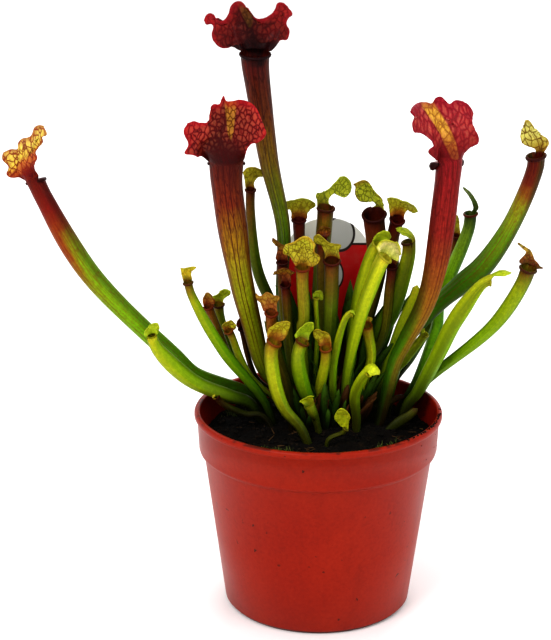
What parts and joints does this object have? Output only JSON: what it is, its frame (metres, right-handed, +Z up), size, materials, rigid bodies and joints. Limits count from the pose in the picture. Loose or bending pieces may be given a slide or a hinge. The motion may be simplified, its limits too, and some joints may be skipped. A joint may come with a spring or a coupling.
{
  "type": "potted pitcher plant",
  "caption": "Trumpet pitcher plant with ruffled red and green hooded leaves, standing in peat in a round terracotta-red plastic nursery pot with a plain plant tag.",
  "frame": {"origin": "middle of the pot's flat base, on the surface that it stands on", "axes": "+Z up along the pot's axis, -Y towards the side that the picture shows, +X to its right"},
  "size_m": [0.1903, 0.09, 0.221],
  "materials": {
    "pot": "satin",
    "soil": "rough",
    "plant_tag": "satin",
    "leaf_red": "satin",
    "leaf_brown": "satin",
    "leaf_olive": "satin",
    "leaf_yellow": "satin",
    "leaf_green": "satin"
  },
  "bodies": {
    "root": {"pot": "pot", "soil": "soil", "plant_tag": "plant_tag", "pitcher_tall": "leaf_red", "pitcher_netted": "leaf_red", "pitcher_far_left": "leaf_red", "pitcher_red_right": "leaf_red", "pitcher_far_right": "leaf_olive", "pitcher_back_1": "leaf_green", "pitcher_back_2": "leaf_brown", "pitcher_back_3": "leaf_olive", "pitcher_back_4": "leaf_brown", "pitcher_back_5": "leaf_brown", "pitcher_back_6": "leaf_brown", "pitcher_middle_1": "leaf_yellow", "pitcher_middle_2": "leaf_brown", "pitcher_middle_3": "leaf_brown", "pitcher_middle_4": "leaf_olive", "pitcher_middle_5": "leaf_green", "pitcher_middle_6": "leaf_green", "pitcher_middle_7": "leaf_olive", "pitcher_middle_8": "leaf_brown", "pitcher_right_1": "leaf_green", "pitcher_right_2": "leaf_olive", "pitcher_right_3": "leaf_green", "pitcher_right_4": "leaf_green", "pitcher_right_5": "leaf_green", "pitcher_left_1": "leaf_green", "pitcher_left_2": "leaf_brown", "pitcher_left_3": "leaf_green", "pitcher_left_4": "leaf_green", "pitcher_left_5": "leaf_brown", "pitcher_left_6": "leaf_brown", "pitcher_left_7": "leaf_green", "pitcher_front_1": "leaf_yellow", "pitcher_front_2": "leaf_green", "pitcher_front_3": "leaf_yellow", "pitcher_front_4": "leaf_green", "pitcher_front_5": "leaf_green", "pitcher_front_6": "leaf_yellow", "pitcher_front_7": "leaf_yellow", "pitcher_front_8": "leaf_yellow", "young_leaf_front": "leaf_yellow", "young_leaf_left_low": "leaf_olive", "young_leaf_left_back": "leaf_olive", "young_leaf_right_low": "leaf_olive", "young_leaf_right_front": "leaf_olive", "young_leaf_middle": "leaf_green", "young_leaf_broad": "leaf_green"}
  },
  "joints": []
}
